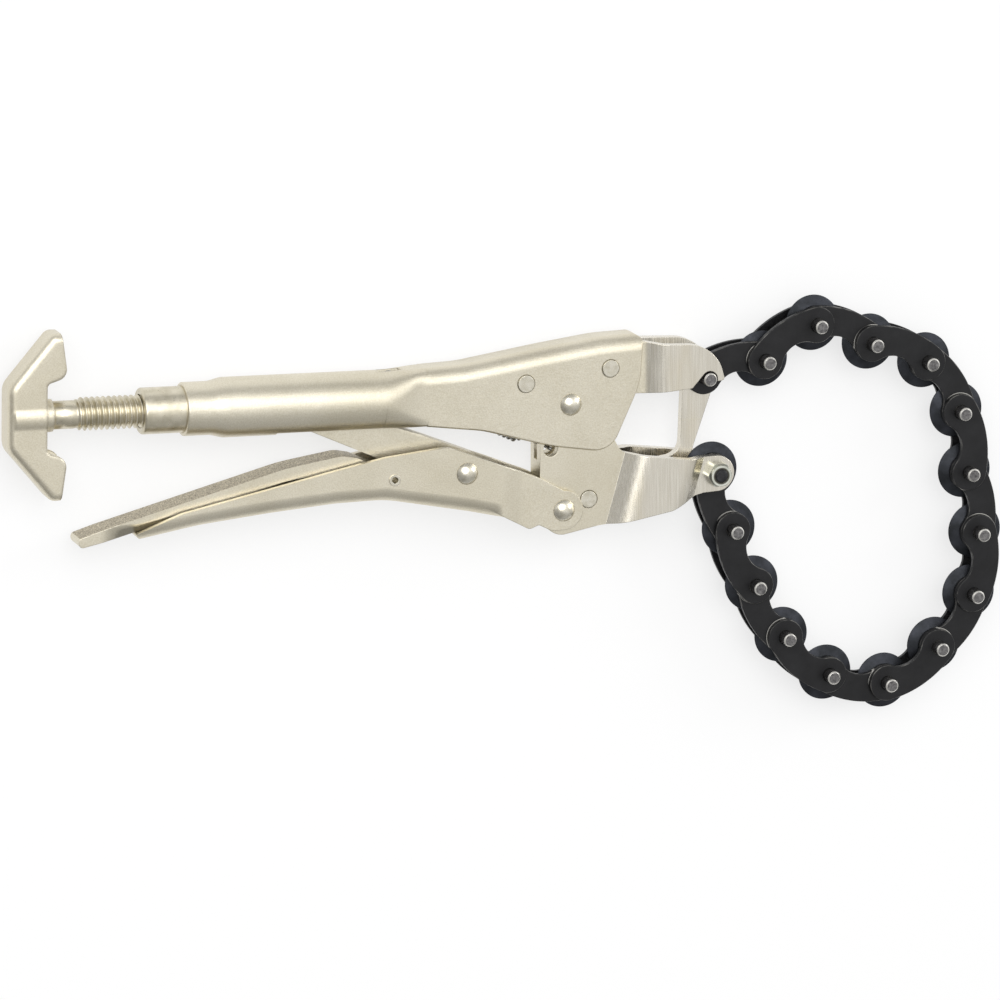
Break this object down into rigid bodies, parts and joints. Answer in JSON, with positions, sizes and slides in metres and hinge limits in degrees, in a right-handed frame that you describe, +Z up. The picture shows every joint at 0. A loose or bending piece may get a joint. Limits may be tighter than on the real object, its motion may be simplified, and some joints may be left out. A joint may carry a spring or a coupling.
{
  "type": "chain pipe cutter",
  "caption": "Locking plier with a wing-knob screw and a hooked chain of cutter wheels that is pulled tight round a pipe.",
  "frame": {"origin": "middle of the bounding box, on the surface that the tool lies on", "axes": "+X from the wing knob to the chain, +Y from the lower handle to the upper handle, +Z up, across the tool"},
  "size_m": [0.3238, 0.1382, 0.0207],
  "materials": {
    "plated_sheet": "satin nickel plate with fine grain",
    "jaw_plate": "nickel plate, brushed on the folds",
    "rivet_steel": "satin",
    "screw_steel": "satin, cut thread",
    "spring_steel": "drawn wire",
    "chain_black": "black oxide, satin",
    "wheel_black": "black oxide, ground edge",
    "pin_steel": "bare turned steel",
    "bolt_black": "black oxide",
    "zinc_nut": "bright zinc plate"
  },
  "bodies": {
    "upper_handle": {"upper_handle": "plated_sheet", "screw_sleeve": "screw_steel", "upper_jaw_near": "jaw_plate", "upper_jaw_far": "jaw_plate", "upper_jaw_core": "plated_sheet", "upper_jaw_rivets": "rivet_steel", "main_pivot_rivet": "rivet_steel", "return_spring": "spring_steel"},
    "adjusting_screw": {"adjusting_screw": "screw_steel"},
    "wing_knob": {"wing_knob": "plated_sheet"},
    "lower_jaw": {"lower_jaw_near": "jaw_plate", "lower_jaw_far": "jaw_plate", "tongue_plate": "jaw_plate", "lower_jaw_rivet": "rivet_steel", "anchor_bolt": "bolt_black", "anchor_nut": "zinc_nut"},
    "lower_handle": {"lower_handle": "plated_sheet", "handle_pivot_rivet": "rivet_steel", "toggle_rivet": "rivet_steel", "release_pin": "rivet_steel"},
    "toggle_link": {"toggle_link": "plated_sheet"},
    "release_lever": {"release_lever": "plated_sheet"},
    "link_01": {"link_01": "chain_black", "hook_pin": "pin_steel"},
    "link_02": {"link_02": "chain_black", "pins_02": "pin_steel"},
    "link_03": {"link_03": "chain_black"},
    "link_04": {"link_04": "chain_black", "pins_04": "pin_steel"},
    "link_05": {"link_05": "chain_black"},
    "link_06": {"link_06": "chain_black", "pins_06": "pin_steel"},
    "link_07": {"link_07": "chain_black"},
    "link_08": {"link_08": "chain_black", "pins_08": "pin_steel"},
    "link_09": {"link_09": "chain_black"},
    "link_10": {"link_10": "chain_black", "pins_10": "pin_steel"},
    "link_11": {"link_11": "chain_black"},
    "link_12": {"link_12": "chain_black", "pins_12": "pin_steel"},
    "link_13": {"link_13": "chain_black"},
    "link_14": {"link_14": "chain_black", "pins_14": "pin_steel"},
    "link_15": {"link_15": "chain_black"},
    "wheel_02": {"wheel_02": "wheel_black"},
    "wheel_03": {"wheel_03": "wheel_black"},
    "wheel_04": {"wheel_04": "wheel_black"},
    "wheel_05": {"wheel_05": "wheel_black"},
    "wheel_06": {"wheel_06": "wheel_black"},
    "wheel_07": {"wheel_07": "wheel_black"},
    "wheel_08": {"wheel_08": "wheel_black"},
    "wheel_09": {"wheel_09": "wheel_black"},
    "wheel_10": {"wheel_10": "wheel_black"},
    "wheel_11": {"wheel_11": "wheel_black"},
    "wheel_12": {"wheel_12": "wheel_black"},
    "wheel_13": {"wheel_13": "wheel_black"},
    "wheel_14": {"wheel_14": "wheel_black"},
    "wheel_15": {"wheel_15": "wheel_black"},
    "wheel_16": {"wheel_16": "wheel_black"}
  },
  "joints": [
    {"name": "jaw_open", "type": "hinge", "parent": "upper_handle", "child": "lower_jaw", "pos_m": [0.01589, 0.03705, 0.0098], "axis": [0, 0, 1], "range_deg": [-10, 0], "deforming": ["return_spring"]},
    {"name": "handle_swing", "type": "hinge", "parent": "lower_jaw", "child": "lower_handle", "pos_m": [0.01369, 0.00385, 0.0098], "axis": [0, 0, 1], "range_deg": [0, 35]},
    {"name": "toggle_fold", "type": "hinge", "parent": "lower_handle", "child": "toggle_link", "pos_m": [-0.01811, 0.01805, 0.0098], "axis": [0, 0, 1], "range_deg": [-43.2, 0]},
    {"name": "release_pull", "type": "hinge", "parent": "lower_handle", "child": "release_lever", "pos_m": [-0.04141, 0.01765, 0.0098], "axis": [0, 0, 1], "range_deg": [-3, 0]},
    {"name": "screw_travel", "type": "slide", "parent": "upper_handle", "child": "adjusting_screw", "axis": [0.9998, -0.0209, 0], "range_m": [-0.00876, 0]},
    {"name": "knob_turn", "type": "hinge", "parent": "adjusting_screw", "child": "wing_knob", "pos_m": [-0.1511, 0.04359, 0.0098], "axis": [0.9998, -0.0209, 0], "range_deg": [-1800, 0]},
    {"name": "chain_16", "type": "hinge", "parent": "lower_jaw", "child": "link_15", "pos_m": [0.06399, 0.01195, 0.0098], "axis": [0, 0, 1], "range_deg": [-10, 10]},
    {"name": "chain_15", "type": "hinge", "parent": "link_15", "child": "link_14", "pos_m": [0.07017, -0.00707, 0.0098], "axis": [0, 0, 1], "range_deg": [-8.52, 8.52]},
    {"name": "chain_14", "type": "hinge", "parent": "link_14", "child": "link_13", "pos_m": [0.07798, -0.02549, 0.0098], "axis": [0, 0, 1], "range_deg": [-7.83, 7.83]},
    {"name": "chain_13", "type": "hinge", "parent": "link_13", "child": "link_12", "pos_m": [0.08798, -0.04281, 0.0098], "axis": [0, 0, 1], "range_deg": [-10, 10]},
    {"name": "chain_12", "type": "hinge", "parent": "link_12", "child": "link_11", "pos_m": [0.10285, -0.05619, 0.0098], "axis": [0, 0, 1], "range_deg": [-3.33, 3.33]},
    {"name": "chain_11", "type": "hinge", "parent": "link_11", "child": "link_10", "pos_m": [0.12241, -0.06035, 0.0098], "axis": [0, 0, 1], "range_deg": [-8.88, 8.88]},
    {"name": "chain_10", "type": "hinge", "parent": "link_10", "child": "link_09", "pos_m": [0.13955, -0.05005, 0.0098], "axis": [0, 0, 1], "range_deg": [-9.45, 9.45]},
    {"name": "chain_09", "type": "hinge", "parent": "link_09", "child": "link_08", "pos_m": [0.15131, -0.03387, 0.0098], "axis": [0, 0, 1], "range_deg": [-10.05, 10.05]},
    {"name": "chain_08", "type": "hinge", "parent": "link_08", "child": "link_07", "pos_m": [0.15305, -0.01394, 0.0098], "axis": [0, 0, 1], "range_deg": [-7.85, 7.85]},
    {"name": "chain_07", "type": "hinge", "parent": "link_07", "child": "link_06", "pos_m": [0.14924, 0.00569, 0.0098], "axis": [0, 0, 1], "range_deg": [-9.38, 9.38]},
    {"name": "chain_06", "type": "hinge", "parent": "link_06", "child": "link_05", "pos_m": [0.14611, 0.02544, 0.0098], "axis": [0, 0, 1], "range_deg": [-8.12, 8.12]},
    {"name": "chain_05", "type": "hinge", "parent": "link_05", "child": "link_04", "pos_m": [0.13492, 0.04202, 0.0098], "axis": [0, 0, 1], "range_deg": [-5.05, 5.05]},
    {"name": "chain_04", "type": "hinge", "parent": "link_04", "child": "link_03", "pos_m": [0.11625, 0.04919, 0.0098], "axis": [0, 0, 1], "range_deg": [-10, 10]},
    {"name": "chain_03", "type": "hinge", "parent": "link_03", "child": "link_02", "pos_m": [0.09758, 0.05636, 0.0098], "axis": [0, 0, 1], "range_deg": [-5.05, 5.05]},
    {"name": "chain_02", "type": "hinge", "parent": "link_02", "child": "link_01", "pos_m": [0.08044, 0.04606, 0.0098], "axis": [0, 0, 1], "range_deg": [-10, 10]},
    {"name": "spin_02", "type": "hinge", "parent": "link_02", "child": "wheel_02", "pos_m": [0.08044, 0.04606, 0.0098], "axis": [0, 0, 1], "continuous": true},
    {"name": "spin_03", "type": "hinge", "parent": "link_02", "child": "wheel_03", "pos_m": [0.09758, 0.05636, 0.0098], "axis": [0, 0, 1], "continuous": true},
    {"name": "spin_04", "type": "hinge", "parent": "link_04", "child": "wheel_04", "pos_m": [0.11625, 0.04919, 0.0098], "axis": [0, 0, 1], "continuous": true},
    {"name": "spin_05", "type": "hinge", "parent": "link_04", "child": "wheel_05", "pos_m": [0.13492, 0.04202, 0.0098], "axis": [0, 0, 1], "continuous": true},
    {"name": "spin_06", "type": "hinge", "parent": "link_06", "child": "wheel_06", "pos_m": [0.14611, 0.02544, 0.0098], "axis": [0, 0, 1], "continuous": true},
    {"name": "spin_07", "type": "hinge", "parent": "link_06", "child": "wheel_07", "pos_m": [0.14924, 0.00569, 0.0098], "axis": [0, 0, 1], "continuous": true},
    {"name": "spin_08", "type": "hinge", "parent": "link_08", "child": "wheel_08", "pos_m": [0.15305, -0.01394, 0.0098], "axis": [0, 0, 1], "continuous": true},
    {"name": "spin_09", "type": "hinge", "parent": "link_08", "child": "wheel_09", "pos_m": [0.15131, -0.03387, 0.0098], "axis": [0, 0, 1], "continuous": true},
    {"name": "spin_10", "type": "hinge", "parent": "link_10", "child": "wheel_10", "pos_m": [0.13955, -0.05005, 0.0098], "axis": [0, 0, 1], "continuous": true},
    {"name": "spin_11", "type": "hinge", "parent": "link_10", "child": "wheel_11", "pos_m": [0.12241, -0.06035, 0.0098], "axis": [0, 0, 1], "continuous": true},
    {"name": "spin_12", "type": "hinge", "parent": "link_12", "child": "wheel_12", "pos_m": [0.10285, -0.05619, 0.0098], "axis": [0, 0, 1], "continuous": true},
    {"name": "spin_13", "type": "hinge", "parent": "link_12", "child": "wheel_13", "pos_m": [0.08798, -0.04281, 0.0098], "axis": [0, 0, 1], "continuous": true},
    {"name": "spin_14", "type": "hinge", "parent": "link_14", "child": "wheel_14", "pos_m": [0.07798, -0.02549, 0.0098], "axis": [0, 0, 1], "continuous": true},
    {"name": "spin_15", "type": "hinge", "parent": "link_14", "child": "wheel_15", "pos_m": [0.07017, -0.00707, 0.0098], "axis": [0, 0, 1], "continuous": true},
    {"name": "spin_16", "type": "hinge", "parent": "lower_jaw", "child": "wheel_16", "pos_m": [0.06399, 0.01195, 0.0098], "axis": [0, 0, 1], "continuous": true}
  ],
  "couplings": [
    {"joint": "handle_swing", "follows": "jaw_open", "ratio": -3.478},
    {"joint": "toggle_fold", "follows": "jaw_open", "ratio": 4.301},
    {"joint": "screw_travel", "follows": "knob_turn", "m_per_rad": 0.00027852},
    {"joint": "chain_14", "follows": "chain_13", "ratio": -0.7785},
    {"joint": "chain_12", "follows": "chain_13", "ratio": -0.3284},
    {"joint": "chain_11", "follows": "chain_02", "ratio": 0.8826},
    {"joint": "chain_10", "follows": "chain_02", "ratio": -0.9398},
    {"joint": "chain_09", "follows": "chain_15", "ratio": -1.1744},
    {"joint": "chain_08", "follows": "chain_16", "ratio": -0.7804},
    {"joint": "chain_07", "follows": "chain_15", "ratio": 1.0961},
    {"joint": "chain_06", "follows": "chain_16", "ratio": 0.8066},
    {"joint": "chain_05", "follows": "chain_04", "ratio": -0.5},
    {"joint": "chain_03", "follows": "chain_04", "ratio": -0.5}
  ]
}
